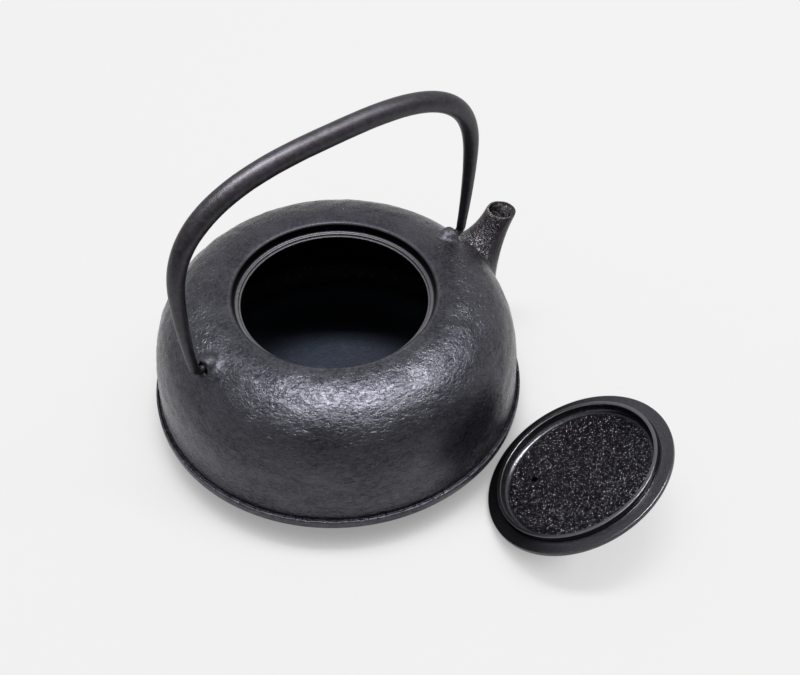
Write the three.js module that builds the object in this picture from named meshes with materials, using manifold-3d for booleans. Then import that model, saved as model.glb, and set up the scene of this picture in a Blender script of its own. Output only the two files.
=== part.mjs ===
// Cast iron kettle with a bail handle, its lid taken off and laid beside it.
// Millimetres, +Z up. The origin is the centre of the flat base, on the table.
// +X points to the spout, and the two ears and the upright handle stand in the XZ plane.

import * as THREE from 'three';
import { mergeVertices } from 'three/addons/utils/BufferGeometryUtils.js';
import Module from 'manifold-3d';

// Body casting
const MOUTH_RADIUS = 50;
const MOUTH_HEIGHT = 79;
const RIM_WIDTH = 2;
const RIM_EDGE = 0.5;
const WALL = 3.2;
const FLOOR_THICKNESS = 3.6;
const BASE_RADIUS = 56;
const BASE_FLARE = 14;
const FLANGE_RADIUS = 94.9;
const FLANGE_TOP = 19.6;
const FLANGE_BAND = 4.8;
const FLANGE_EDGE_ROUND = 1.1;
const FLANGE_UNDERCUT = 9;
const FLANGE_UNDERCUT_HEIGHT = 2.5;
const SEAM_GROOVE = 0.7;
const WALL_RADIUS = 92;
const WALL_FOOT_ROUND = 2;
const WALL_STRAIGHT_TOP = 28.8;
const SHOULDER_FLAT = 27.3;
const SHOULDER_FALL = 0.5;
const SHOULDER_RISE = 38.5;
const HOLLOW_CORNER_HEIGHT = 8;
const BODY_SEGMENTS = 64;
const BODY_CHORD = 5;
const HOLLOW_CHORD = 10;

// Seat that the lid drops into
const SEAT_DEPTH = 4.8;
const SEAT_OUTER_RADIUS = 48.7;
const SEAT_INNER_RADIUS = 46.3;
const SEAT_THICKNESS = 2.2;
const COLLAR_WALL = 2.6;

// Spout
const SPOUT_ROOT = { x: 77.7, z: 47.7 };
const SPOUT_BEND = { x: 92, z: 52.3 };
const SPOUT_TIP = { x: 108.7, z: 73.6 };
const SPOUT_TIP_RADIUS = 7.7;
const SPOUT_TIP_WALL = 1.2;
const SPOUT_ROOT_WALL = 3;
const SPOUT_ROOT_WIDTH = 33.5;
const SPOUT_ROOT_HEIGHT = 25.4;
const SPOUT_FLARE = 1.8;
const SPOUT_ROOT_SLANT = 19;
const SPOUT_TIP_SLANT = 88;
const SPOUT_STEPS = 14;
const SPOUT_SIDES = 28;

// Ears that carry the handle
const HINGE_HEIGHT = 73.5;
const EAR_RADIUS = 5.3;
const EAR_INNER = 65.4;
const EAR_FACE = 75;
const EAR_HOLE_RADIUS = 3.1;
const EAR_HOLE_BOTTOM = 70.4;
const EAR_SIDES = 24;

// Bail handle, with heights counted from the hinge line
const HANDLE_HALF_WIDTH = 82.5;
const HANDLE_CORNER_START = 43.1;
const HANDLE_HEIGHT = 100.7;
const HANDLE_SQUARENESS = 2.95;
const HANDLE_FOOT = 80.2;
const HANDLE_BEND = 4.2;
const HANDLE_RADIUS = 4.9;
const HANDLE_TAPER_TOP = 87;
const HANDLE_TAPER = 1.15;
const HANDLE_FOOT_RADIUS = 2.4;
const HANDLE_PIN_RADIUS = 1.95;
const HANDLE_PIN_END = 71.2;
const HANDLE_END_ROUND = 0.8;
const HANDLE_LEAN = 2.2;
const HANDLE_BEND_STEPS = 5;
const HANDLE_LEG_STEPS = 8;
const HANDLE_ARCH_STEPS = 16;
const HANDLE_SIDES = 14;

// Lid
const LID_RADIUS = 47.8;
const LID_EDGE = 2.2;
const LID_EDGE_ROUND = 0.6;
const LID_EDGE_RISE = 1.2;
const LID_CROWN = 6.4;
const LID_CROWN_RADIUS = 9;
const LID_DISH_RADIUS = 36.8;
const LID_DISH_EDGE = 2.1;
const LID_DISH_CENTRE = 3.4;
const LIP_ROOT = 39.6;
const LIP_INNER = 40.1;
const LIP_OUTER = 41.7;
const LIP_HEIGHT = 2.8;
const LIP_CHAMFER = 0.4;
const GROOVE_DEPTH = 0.4;
const GROOVE_WIDTH = 0.9;
const STEAM_HOLE_RADIUS = 1.6;
const STEAM_HOLE_OFFSET = 24.4;
const STEAM_HOLE_SIDES = 12;
const LID_SEGMENTS = 64;
const LID_CHORD = 8;

// Lid's place on the table, upside down on its edge and its knob
const LID_CENTRE = { x: 50.1, y: -126.4 };
const LID_TILT = 29.8;
const LID_LEAN_TOWARD = 128.1;
const LID_SPIN = 182;

// Knob
const KNOB_TOP_RADIUS = 9;
const KNOB_NECK_RADIUS = 5;
const KNOB_NECK_RISE = 5.5;
const KNOB_FOOT_RADIUS = 7;
const KNOB_FOOT_HEIGHT = 0.9;
const KNOB_EDGE_ROUND = 2.8;
const KNOB_DOME = 1.3;
const TENON_RADIUS = 2.8;
const TENON_LENGTH = 1.8;
const FIT_GAP = 0.3;
const KNOB_SEGMENTS = 32;
const KNOB_CHORD = 3;

const wasm = await Module();
wasm.setup();

// Solids for joining and cutting

function toSolid(geometry) {
  const bare = geometry.clone();
  bare.deleteAttribute('normal');
  bare.deleteAttribute('uv');
  const merged = mergeVertices(bare, 1e-4);
  const corners = merged.index.array;
  const triangles = [];
  for (let i = 0; i < corners.length; i += 3) {
    const [a, b, c] = corners.slice(i, i + 3);
    if (a !== b && b !== c && c !== a) triangles.push(a, b, c);
  }
  return new wasm.Manifold(new wasm.Mesh({
    numProp: 3,
    vertProperties: new Float32Array(merged.attributes.position.array),
    triVerts: new Uint32Array(triangles),
  }));
}

function toGeometry(solid) {
  const mesh = solid.getMesh();
  const geometry = new THREE.BufferGeometry();
  geometry.setAttribute('position', new THREE.BufferAttribute(mesh.vertProperties, 3));
  geometry.setIndex(new THREE.BufferAttribute(mesh.triVerts, 1));
  geometry.computeVertexNormals();
  return geometry;
}

// Revolves a closed half-section about the Z axis
function revolve(outline, segments) {
  const geometry = new THREE.LatheGeometry(outline, segments);
  geometry.rotateX(Math.PI / 2);
  return geometry;
}

// Bends a cylinder along sections in the XZ plane. Each section has a centre, the direction
// of its in-plane half-axis, and its two half-widths.
function sweep(sections, sides) {
  const spans = sections.length - 1;
  const geometry = new THREE.CylinderGeometry(1, 1, 1, sides, spans);
  const place = geometry.attributes.position;
  for (let i = 0; i < place.count; i += 1) {
    const step = Math.round((0.5 - place.getY(i)) * spans);
    const { centre, across, depth, width } = sections[step];
    const inPlane = place.getX(i) * depth;
    const sideways = place.getZ(i) * width;
    place.setXYZ(i, centre.x + across.x * inPlane, sideways, centre.y + across.y * inPlane);
  }
  return geometry;
}

// Points along a path: straight runs keep their ends, curved runs are cut into chords
function trace(path, chord) {
  const points = [path.curves[0].getPoint(0)];
  for (const curve of path.curves) {
    const steps = curve.isLineCurve ? 1 : Math.max(2, Math.ceil(curve.getLength() / chord));
    points.push(...curve.getPoints(steps).slice(1));
  }
  return points;
}

function smooth(t) {
  return t * t * (3 - 2 * t);
}

// Body casting

// Half-section of the outside, from the centre of the base up over the shoulder to the mouth
function bodyOutline() {
  const path = new THREE.Path();
  const bandFoot = FLANGE_TOP - FLANGE_BAND;
  const rim = MOUTH_RADIUS + RIM_WIDTH;
  path.moveTo(0, 0);
  path.lineTo(BASE_RADIUS, 0);
  path.bezierCurveTo(
    BASE_RADIUS + BASE_FLARE, 0,
    FLANGE_RADIUS - FLANGE_UNDERCUT, FLANGE_UNDERCUT_HEIGHT,
    FLANGE_RADIUS - FLANGE_EDGE_ROUND, bandFoot,
  );
  path.quadraticCurveTo(FLANGE_RADIUS, bandFoot, FLANGE_RADIUS, bandFoot + FLANGE_EDGE_ROUND);
  path.lineTo(FLANGE_RADIUS, FLANGE_TOP - SEAM_GROOVE);
  path.lineTo(FLANGE_RADIUS - SEAM_GROOVE, FLANGE_TOP);
  path.lineTo(WALL_RADIUS + SEAM_GROOVE, FLANGE_TOP);
  path.quadraticCurveTo(WALL_RADIUS, FLANGE_TOP, WALL_RADIUS, FLANGE_TOP + WALL_FOOT_ROUND);
  path.lineTo(WALL_RADIUS, WALL_STRAIGHT_TOP);
  path.bezierCurveTo(
    WALL_RADIUS, WALL_STRAIGHT_TOP + SHOULDER_RISE,
    MOUTH_RADIUS + SHOULDER_FLAT, MOUTH_HEIGHT - SHOULDER_FALL,
    rim, MOUTH_HEIGHT,
  );
  path.lineTo(0, MOUTH_HEIGHT);
  return trace(path, BODY_CHORD);
}

// Half-section of the hollow and the mouth, which is cut out of the body
function hollowOutline() {
  const path = new THREE.Path();
  const inside = WALL_RADIUS - WALL;
  const seatTop = MOUTH_HEIGHT - SEAT_DEPTH;
  const seatUnder = seatTop - SEAT_THICKNESS;
  const collar = MOUTH_RADIUS + COLLAR_WALL;
  path.moveTo(0, FLOOR_THICKNESS);
  path.lineTo(BASE_RADIUS, FLOOR_THICKNESS);
  path.bezierCurveTo(
    BASE_RADIUS + BASE_FLARE, FLOOR_THICKNESS,
    inside - WALL, HOLLOW_CORNER_HEIGHT,
    inside, FLANGE_TOP + WALL_FOOT_ROUND,
  );
  path.lineTo(inside, WALL_STRAIGHT_TOP);
  path.bezierCurveTo(
    inside, WALL_STRAIGHT_TOP + SHOULDER_RISE - WALL,
    MOUTH_RADIUS + SHOULDER_FLAT, MOUTH_HEIGHT - WALL - SHOULDER_FALL,
    collar, MOUTH_HEIGHT - WALL,
  );
  path.lineTo(collar, seatUnder);
  path.lineTo(SEAT_INNER_RADIUS, seatUnder);
  path.lineTo(SEAT_INNER_RADIUS, seatTop);
  path.lineTo(SEAT_OUTER_RADIUS, seatTop);
  path.lineTo(MOUTH_RADIUS, MOUTH_HEIGHT - RIM_EDGE);
  path.lineTo(MOUTH_RADIUS + 2 * RIM_EDGE, MOUTH_HEIGHT + RIM_EDGE);
  path.lineTo(0, MOUTH_HEIGHT + RIM_EDGE);
  return trace(path, HOLLOW_CHORD);
}

// Sections of the spout from inside the wall to its lip. A wall thickness draws them in
// for the bore, and an overrun carries the bore out through the lip.
function spoutSections(wallAt, overrun) {
  const spine = new THREE.QuadraticBezierCurve(
    new THREE.Vector2(SPOUT_ROOT.x, SPOUT_ROOT.z),
    new THREE.Vector2(SPOUT_BEND.x, SPOUT_BEND.z),
    new THREE.Vector2(SPOUT_TIP.x, SPOUT_TIP.z),
  );
  const sections = [];
  for (let step = 0; step <= SPOUT_STEPS; step += 1) {
    const t = step / SPOUT_STEPS;
    const narrowing = 1 - (1 - t) ** SPOUT_FLARE;
    const slant = THREE.MathUtils.lerp(SPOUT_ROOT_SLANT, SPOUT_TIP_SLANT, smooth(t));
    const facing = THREE.MathUtils.degToRad(slant);
    const wall = wallAt(t);
    sections.push({
      centre: spine.getPoint(t),
      across: new THREE.Vector2(Math.sin(facing), -Math.cos(facing)),
      depth: THREE.MathUtils.lerp(SPOUT_ROOT_HEIGHT, SPOUT_TIP_RADIUS, narrowing) - wall,
      width: THREE.MathUtils.lerp(SPOUT_ROOT_WIDTH, SPOUT_TIP_RADIUS, narrowing) - wall,
    });
  }
  if (overrun > 0) {
    const last = sections[SPOUT_STEPS];
    const outward = new THREE.Vector2(-last.across.y, last.across.x);
    sections.push({ ...last, centre: last.centre.clone().addScaledVector(outward, overrun) });
  }
  return sections;
}

function spoutWall(t) {
  return THREE.MathUtils.lerp(SPOUT_ROOT_WALL, SPOUT_TIP_WALL, t);
}

// A stub with a round inner end, lying along X on the hinge line
function earStub(side) {
  const roundCentre = EAR_INNER + EAR_RADIUS;
  const length = EAR_FACE - roundCentre;
  const stub = new THREE.CylinderGeometry(EAR_RADIUS, EAR_RADIUS, length, EAR_SIDES);
  stub.rotateZ(Math.PI / 2);
  stub.translate(side * (roundCentre + length / 2), 0, HINGE_HEIGHT);
  const end = new THREE.SphereGeometry(EAR_RADIUS, EAR_SIDES, EAR_SIDES / 2);
  end.rotateZ(Math.PI / 2);
  end.translate(side * roundCentre, 0, HINGE_HEIGHT);
  return toSolid(stub).add(toSolid(end));
}

function earHole(side) {
  const length = FLANGE_RADIUS - EAR_HOLE_BOTTOM;
  const hole = new THREE.CylinderGeometry(EAR_HOLE_RADIUS, EAR_HOLE_RADIUS, length, EAR_SIDES);
  hole.rotateZ(Math.PI / 2);
  hole.translate(side * (EAR_HOLE_BOTTOM + length / 2), 0, HINGE_HEIGHT);
  return toSolid(hole);
}

function makeBody() {
  const outside = toSolid(revolve(bodyOutline(), BODY_SEGMENTS));
  const hollow = toSolid(revolve(hollowOutline(), BODY_SEGMENTS));
  const spout = toSolid(sweep(spoutSections(() => 0, 0), SPOUT_SIDES));
  const bore = toSolid(sweep(spoutSections(spoutWall, SPOUT_TIP_WALL), SPOUT_SIDES));
  const ears = earStub(1).add(earStub(-1));
  const holes = earHole(1).add(earHole(-1));
  const cuts = hollow.add(bore).subtract(ears).add(holes);
  return outside.add(spout).add(ears).subtract(cuts);
}

// Bail handle

// Half of the handle's centre line, from the end of one pin up to the top of the arch
function handleHalfLine() {
  const points = [];
  points.push(new THREE.Vector2(HANDLE_PIN_END, 0));
  points.push(new THREE.Vector2(HANDLE_PIN_END + HANDLE_END_ROUND, 0));
  for (let step = 0; step <= HANDLE_BEND_STEPS; step += 1) {
    const turn = (step / HANDLE_BEND_STEPS) * (Math.PI / 2);
    points.push(new THREE.Vector2(
      HANDLE_FOOT - HANDLE_BEND * (1 - Math.sin(turn)),
      HANDLE_BEND * (1 - Math.cos(turn)),
    ));
  }
  for (let step = 1; step <= HANDLE_LEG_STEPS; step += 1) {
    const rise = step / HANDLE_LEG_STEPS;
    points.push(new THREE.Vector2(
      THREE.MathUtils.lerp(HANDLE_FOOT, HANDLE_HALF_WIDTH, Math.sin(rise * (Math.PI / 2))),
      THREE.MathUtils.lerp(HANDLE_BEND, HANDLE_CORNER_START, rise),
    ));
  }
  const power = 2 / HANDLE_SQUARENESS;
  for (let step = 1; step <= HANDLE_ARCH_STEPS; step += 1) {
    const turn = (step / HANDLE_ARCH_STEPS) * (Math.PI / 2);
    points.push(new THREE.Vector2(
      HANDLE_HALF_WIDTH * Math.cos(turn) ** power,
      THREE.MathUtils.lerp(HANDLE_CORNER_START, HANDLE_HEIGHT, Math.sin(turn) ** power),
    ));
  }
  return points;
}

function handleRadius(point) {
  if (point.y < HANDLE_BEND) {
    return THREE.MathUtils.lerp(HANDLE_PIN_RADIUS, HANDLE_FOOT_RADIUS, point.y / HANDLE_BEND);
  }
  const rise = (point.y - HANDLE_BEND) / (HANDLE_TAPER_TOP - HANDLE_BEND);
  const taper = THREE.MathUtils.clamp(rise, 0, 1) ** HANDLE_TAPER;
  return THREE.MathUtils.lerp(HANDLE_FOOT_RADIUS, HANDLE_RADIUS, taper);
}

function makeHandle() {
  const half = handleHalfLine();
  const mirrored = half.slice(0, -1).map((point) => new THREE.Vector2(-point.x, point.y));
  const line = [...half, ...mirrored.reverse()];
  const sections = line.map((point, index) => {
    const before = line[Math.max(index - 1, 0)];
    const after = line[Math.min(index + 1, line.length - 1)];
    const along = after.clone().sub(before).normalize();
    const atEnd = index === 0 || index === line.length - 1;
    const radius = handleRadius(point) - (atEnd ? HANDLE_END_ROUND : 0);
    return {
      centre: point,
      across: new THREE.Vector2(along.y, -along.x),
      depth: radius,
      width: radius,
    };
  });
  return toSolid(sweep(sections, HANDLE_SIDES));
}

// Lid and knob, both the right way up, with z = 0 at the rim's underside

function lidOutline() {
  const path = new THREE.Path();
  path.moveTo(0, LID_DISH_CENTRE);
  path.quadraticCurveTo(LID_DISH_RADIUS / 2, LID_DISH_CENTRE, LID_DISH_RADIUS, LID_DISH_EDGE);
  path.quadraticCurveTo(LIP_ROOT, LID_DISH_EDGE, LIP_ROOT, 0);
  path.lineTo(LIP_INNER, LIP_CHAMFER - LIP_HEIGHT);
  path.lineTo(LIP_INNER + LIP_CHAMFER, -LIP_HEIGHT);
  path.lineTo(LIP_OUTER - LIP_CHAMFER, -LIP_HEIGHT);
  path.lineTo(LIP_OUTER, LIP_CHAMFER - LIP_HEIGHT);
  path.lineTo(LIP_OUTER, GROOVE_DEPTH);
  path.lineTo(LIP_OUTER + GROOVE_WIDTH - GROOVE_DEPTH, GROOVE_DEPTH);
  path.lineTo(LIP_OUTER + GROOVE_WIDTH, 0);
  path.lineTo(LID_RADIUS - LID_EDGE_ROUND, 0);
  path.quadraticCurveTo(LID_RADIUS, 0, LID_RADIUS, LID_EDGE_ROUND);
  path.lineTo(LID_RADIUS, LID_EDGE - LID_EDGE_ROUND);
  path.quadraticCurveTo(LID_RADIUS, LID_EDGE, LID_RADIUS - LID_EDGE_ROUND, LID_EDGE);
  path.bezierCurveTo(
    LID_DISH_RADIUS, LID_EDGE + LID_EDGE_RISE,
    LID_RADIUS / 2, LID_CROWN,
    LID_CROWN_RADIUS, LID_CROWN,
  );
  path.lineTo(0, LID_CROWN);
  return trace(path, LID_CHORD);
}

// An upright rod for cutting a round hole
function holeCutter(radius, reach, sides) {
  const rod = new THREE.CylinderGeometry(radius, radius, 2 * reach, sides);
  rod.rotateX(Math.PI / 2);
  return rod;
}

function makeLid() {
  const plate = toSolid(revolve(lidOutline(), LID_SEGMENTS));
  const steamHole = holeCutter(STEAM_HOLE_RADIUS, 2 * LID_CROWN, STEAM_HOLE_SIDES);
  steamHole.translate(STEAM_HOLE_OFFSET, 0, 0);
  steamHole.rotateZ(THREE.MathUtils.degToRad(LID_SPIN));
  const socket = holeCutter(TENON_RADIUS + FIT_GAP, TENON_LENGTH + FIT_GAP, KNOB_SEGMENTS);
  socket.translate(0, 0, LID_CROWN);
  return plate.subtract(toSolid(steamHole)).subtract(toSolid(socket));
}

// How far an outline reaches toward the table when the lid lies tilted on it
function reachDown(outline) {
  const tilt = THREE.MathUtils.degToRad(LID_TILT);
  const reaches = outline.map((point) => point.x * Math.sin(tilt) + point.y * Math.cos(tilt));
  return Math.max(...reaches);
}

// Half-section of the knob, from its tenon to a domed top at the given height
function knobOutline(top) {
  const foot = LID_CROWN + FIT_GAP;
  const edge = top - KNOB_DOME;
  const path = new THREE.Path();
  path.moveTo(0, foot - TENON_LENGTH);
  path.lineTo(TENON_RADIUS, foot - TENON_LENGTH);
  path.lineTo(TENON_RADIUS, foot);
  path.lineTo(KNOB_FOOT_RADIUS, foot);
  path.lineTo(KNOB_FOOT_RADIUS, foot + KNOB_FOOT_HEIGHT);
  path.bezierCurveTo(
    KNOB_NECK_RADIUS, foot + 2 * KNOB_FOOT_HEIGHT,
    KNOB_NECK_RADIUS, foot + KNOB_NECK_RISE,
    KNOB_TOP_RADIUS, edge - KNOB_EDGE_ROUND,
  );
  path.quadraticCurveTo(KNOB_TOP_RADIUS, edge, KNOB_TOP_RADIUS - KNOB_EDGE_ROUND, edge);
  path.quadraticCurveTo(KNOB_TOP_RADIUS / 3, top, 0, top);
  return trace(path, KNOB_CHORD);
}

// The knob is as long as it takes for the lid to lie on its edge and on the knob
function makeKnob() {
  const trialTop = 3 * LID_CROWN;
  const shortfall = reachDown(lidOutline()) - reachDown(knobOutline(trialTop));
  const top = trialTop + shortfall / Math.cos(THREE.MathUtils.degToRad(LID_TILT));
  return toSolid(revolve(knobOutline(top), KNOB_SEGMENTS));
}

// Assembly

function castIron(color, roughness) {
  return new THREE.MeshStandardMaterial({ color, roughness, metalness: 0.6 });
}

function namedMesh(name, solid, material) {
  const mesh = new THREE.Mesh(toGeometry(solid), material);
  mesh.name = name;
  return mesh;
}

const kettle = new THREE.Group();
kettle.add(namedMesh('kettle_body', makeBody(), castIron(0x34353b, 0.5)));

const bail = new THREE.Group();
bail.add(namedMesh('bail_handle', makeHandle(), castIron(0x2c2a2c, 0.42)));
bail.position.z = HINGE_HEIGHT;
bail.rotation.x = THREE.MathUtils.degToRad(HANDLE_LEAN);
kettle.add(bail);

const lid = new THREE.Group();
lid.add(namedMesh('lid', makeLid(), castIron(0x1d1d20, 0.35)));
lid.add(namedMesh('lid_knob', makeKnob(), castIron(0x26262a, 0.45)));
lid.position.set(LID_CENTRE.x, LID_CENTRE.y, reachDown(lidOutline()));
lid.rotation.order = 'ZYX';
lid.rotation.z = THREE.MathUtils.degToRad(LID_LEAN_TOWARD);
lid.rotation.y = THREE.MathUtils.degToRad(180 + LID_TILT);
kettle.add(lid);

export default kettle;
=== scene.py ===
"""Cast iron kettle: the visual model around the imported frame, laid out as an add-on."""

import math

import bpy
import numpy as np
from mathutils import Euler, Matrix, Vector, noise
from mathutils.bvhtree import BVHTree
from mathutils.kdtree import KDTree


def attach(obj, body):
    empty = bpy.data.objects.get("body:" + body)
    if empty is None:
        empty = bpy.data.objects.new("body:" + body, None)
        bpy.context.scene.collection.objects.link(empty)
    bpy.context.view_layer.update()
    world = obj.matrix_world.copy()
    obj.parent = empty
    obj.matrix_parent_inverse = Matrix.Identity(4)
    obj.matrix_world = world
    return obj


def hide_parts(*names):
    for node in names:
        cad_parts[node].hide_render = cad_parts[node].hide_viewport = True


bl_info = {
    "name": "Cast Iron Kettle",
    "version": (1, 0, 0),
    "blender": (4, 5, 0),
    "location": "View3D > Sidebar > Kettle",
    "description": "Builds a cast iron kettle with a bail handle and a loose lid",
    "category": "Object",
}

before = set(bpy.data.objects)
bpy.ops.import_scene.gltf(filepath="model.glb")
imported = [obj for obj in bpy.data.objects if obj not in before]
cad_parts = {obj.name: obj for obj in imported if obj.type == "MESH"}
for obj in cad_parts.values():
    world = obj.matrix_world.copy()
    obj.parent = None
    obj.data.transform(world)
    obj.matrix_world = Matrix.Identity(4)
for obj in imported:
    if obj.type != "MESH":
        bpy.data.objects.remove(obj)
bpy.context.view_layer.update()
MM = 0.001


# Sizes and colours that a user may change


def size(name, description, default):
    return bpy.props.FloatProperty(name=name, description=description, default=default, unit="NONE")


def colour(name, description, default):
    return bpy.props.FloatVectorProperty(
        name=name, description=description, default=default, subtype="COLOR", size=3, min=0, max=1
    )


class KettleBodySizes(bpy.types.PropertyGroup):
    """Sizes of the body casting, in millimetres"""

    mouth_radius: size("Mouth radius", "Radius of the mouth at its rim (mm)", 50)
    mouth_height: size("Mouth height", "Height of the rim above the table (mm)", 79)
    wall: size("Wall", "Thickness of the casting (mm)", 3.2)
    wall_radius: size("Wall radius", "Outer radius of the upright wall (mm)", 92)
    flange_radius: size("Flange radius", "Outer radius of the seam flange (mm)", 94.9)
    flange_top: size("Flange top", "Height of the seam flange's upper edge (mm)", 19.6)
    base_radius: size("Base radius", "Radius of the flat base (mm)", 56)
    relief: size("Relief", "Depth of the skin's uneven swell (mm)", 0.28)
    spout_tip_radius: size("Spout tip radius", "Outer radius of the spout's lip (mm)", 7.9)
    ear_radius: size("Ear radius", "Radius of the ears that carry the handle (mm)", 5.4)
    hinge_height: size("Hinge height", "Height of the handle's hinge line (mm)", 73.5)
    ear_shift: size("Ear shift", "How far both ears stand towards the spout (mm)", 0.6)


class KettleHandleSizes(bpy.types.PropertyGroup):
    """Sizes of the bail handle, in millimetres, with heights from the hinge line"""

    half_width: size("Half width", "Half the width of the arch at its centre line (mm)", 82.5)
    corner_start: size("Corner start", "Height at which the arch begins (mm)", 43.1)
    height: size("Height", "Height of the arch's centre line (mm)", 100.7)
    squareness: size("Squareness", "Exponent of the arch: 2 is an ellipse", 2.87)
    foot: size("Foot", "Distance of the feet from the middle (mm)", 80.2)
    bend: size("Bend", "Radius of the hook's bend (mm)", 4.2)
    arch_radius: size("Arch radius", "Radius of the bar on the arch (mm)", 4.9)
    foot_radius: size("Foot radius", "Radius of the bar at its feet (mm)", 2.4)
    pin_radius: size("Pin radius", "Radius of the hooks that enter the ears (mm)", 1.95)
    taper: size("Taper", "Exponent of the bar's growth from foot to arch", 1.15)
    taper_top: size("Taper top", "Height at which the bar is at its thickest (mm)", 87)
    lean: size("Lean", "How far the handle leans from upright (degrees)", 2.2)


class KettleLidSizes(bpy.types.PropertyGroup):
    """Sizes of the lid and its knob, in millimetres"""

    radius: size("Radius", "Radius of the lid (mm)", 47.8)
    edge: size("Edge", "Thickness of the lid's edge (mm)", 2.2)
    crown: size("Crown", "Height of the lid's crown (mm)", 6.4)
    lip_outer: size("Lip outer radius", "Outer radius of the locating lip (mm)", 41.2)
    lip_inner: size("Lip inner radius", "Inner radius of the locating lip (mm)", 39.3)
    lip_height: size("Lip height", "How far the lip stands down from the rim (mm)", 3.2)
    grain: size("Grain", "Depth of the coarse grain in the dish (mm)", 0.10)
    steam_hole: size("Steam hole radius", "Radius of the steam hole (mm)", 1.6)
    knob_radius: size("Knob radius", "Radius of the knob's top (mm)", 9)


class KettleFinish(bpy.types.PropertyGroup):
    """Colours of the iron and the stage"""

    body: colour("Body", "Lacquered iron of the body", (0.034, 0.034, 0.042))
    worn: colour("Worn", "Paler iron where the skin is rubbed", (0.096, 0.096, 0.112))
    inside: colour("Inside", "Inside of the kettle", (0.030, 0.036, 0.051))
    seat: colour("Seat", "Bare ledge that carries the lid", (0.085, 0.083, 0.092))
    handle: colour("Handle", "Smooth iron of the handle", (0.045, 0.041, 0.046))
    lid: colour("Lid", "Black iron of the lid", (0.070, 0.070, 0.078))
    rust: colour("Rust", "Brown bloom on the spout", (0.052, 0.046, 0.048))
    lip: colour("Lip", "Ground lip of the spout", (0.105, 0.098, 0.098))
    floor: colour("Floor", "Floor as it lights the iron", (0.37, 0.37, 0.37))
    floor_seen: colour("Floor seen", "Floor as the camera sees it", (0.10, 0.10, 0.10))


# Mesh helpers

SEAM_WIDTH = 0.25 * MM
SEAM_PULL = 0.6
SMOOTH_ANGLE = 40


def make_object(name, verts, faces):
    mesh = bpy.data.meshes.new(name)
    mesh.from_pydata([tuple(v) for v in verts], [], faces)
    mesh.validate()
    obj = bpy.data.objects.new(name, mesh)
    bpy.context.scene.collection.objects.link(obj)
    return obj


def revolve(name, outline, segments):
    """Closed solid turned about Z from an outline that starts and ends on the axis, in mm."""
    ring_points = outline[1:-1]
    turns = np.linspace(0, 2 * math.pi, segments, endpoint=False)
    verts = [(0, 0, outline[0][1])]
    for radius, height in ring_points:
        verts.extend(zip(radius * np.cos(turns), radius * np.sin(turns), [height] * segments))
    verts.append((0, 0, outline[-1][1]))
    last = len(verts) - 1
    faces = []
    for k in range(segments):
        follow = (k + 1) % segments
        faces.append((0, 1 + follow, 1 + k))
        for row in range(len(ring_points) - 1):
            low = 1 + row * segments
            high = low + segments
            faces.append((low + k, low + follow, high + follow, high + k))
        top = 1 + (len(ring_points) - 1) * segments
        faces.append((last, top + k, top + follow))
    return make_object(name, np.array(verts) * MM, faces)


def loft(name, rings):
    """Closed solid through rings of points, capped at both ends, in mm."""
    count = len(rings[0])
    verts = np.vstack(rings)
    faces = [tuple(reversed(range(count)))]
    for row in range(len(rings) - 1):
        low = row * count
        for k in range(count):
            follow = (k + 1) % count
            faces.append((low + k, low + follow, low + count + follow, low + count + k))
    faces.append(tuple((len(rings) - 1) * count + k for k in range(count)))
    return make_object(name, verts * MM, faces)


def bezier(points, spacing):
    """Points along a Bezier curve of any degree, about one spacing apart."""
    control = np.array(points, float)
    reach = np.linalg.norm(np.diff(control, axis=0), axis=1).sum()
    t = np.linspace(0, 1, max(3, int(reach / spacing) + 1))[:, None]
    degree = len(control) - 1
    weights = [math.comb(degree, i) * (1 - t) ** (degree - i) * t**i for i in range(degree + 1)]
    return sum(w * p for w, p in zip(weights, control))


def outline_through(*runs):
    """Joins runs of points into one outline without repeated points."""
    points = [tuple(runs[0][0])]
    for run in runs:
        for point in run:
            if math.dist(point, points[-1]) > 0.02:
                points.append(tuple(float(v) for v in point))
    return points


def evaluated(obj):
    depsgraph = bpy.context.evaluated_depsgraph_get()
    return bpy.data.meshes.new_from_object(obj.evaluated_get(depsgraph))


def apply_modifiers(obj):
    mesh = evaluated(obj)
    old = obj.data
    obj.modifiers.clear()
    obj.data = mesh
    bpy.data.meshes.remove(old)


def combine(obj, other, operation):
    modifier = obj.modifiers.new(operation, "BOOLEAN")
    modifier.operation = operation
    modifier.solver = "MANIFOLD"
    modifier.object = other
    apply_modifiers(obj)
    bpy.data.objects.remove(other)


def corners(obj):
    points = np.empty(len(obj.data.vertices) * 3)
    obj.data.vertices.foreach_get("co", points)
    return points.reshape(-1, 3)


def set_corners(obj, points):
    obj.data.vertices.foreach_set("co", np.ascontiguousarray(points).ravel())
    obj.data.update()


def normals(obj):
    values = np.empty(len(obj.data.vertices) * 3)
    obj.data.vertices.foreach_get("normal", values)
    return values.reshape(-1, 3)


def tree_of(obj):
    points = [v.co.copy() for v in obj.data.vertices]
    return BVHTree.FromPolygons(points, [tuple(p.vertices) for p in obj.data.polygons])


def distance_to(tree, point):
    return tree.find_nearest(point)[3]


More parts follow.
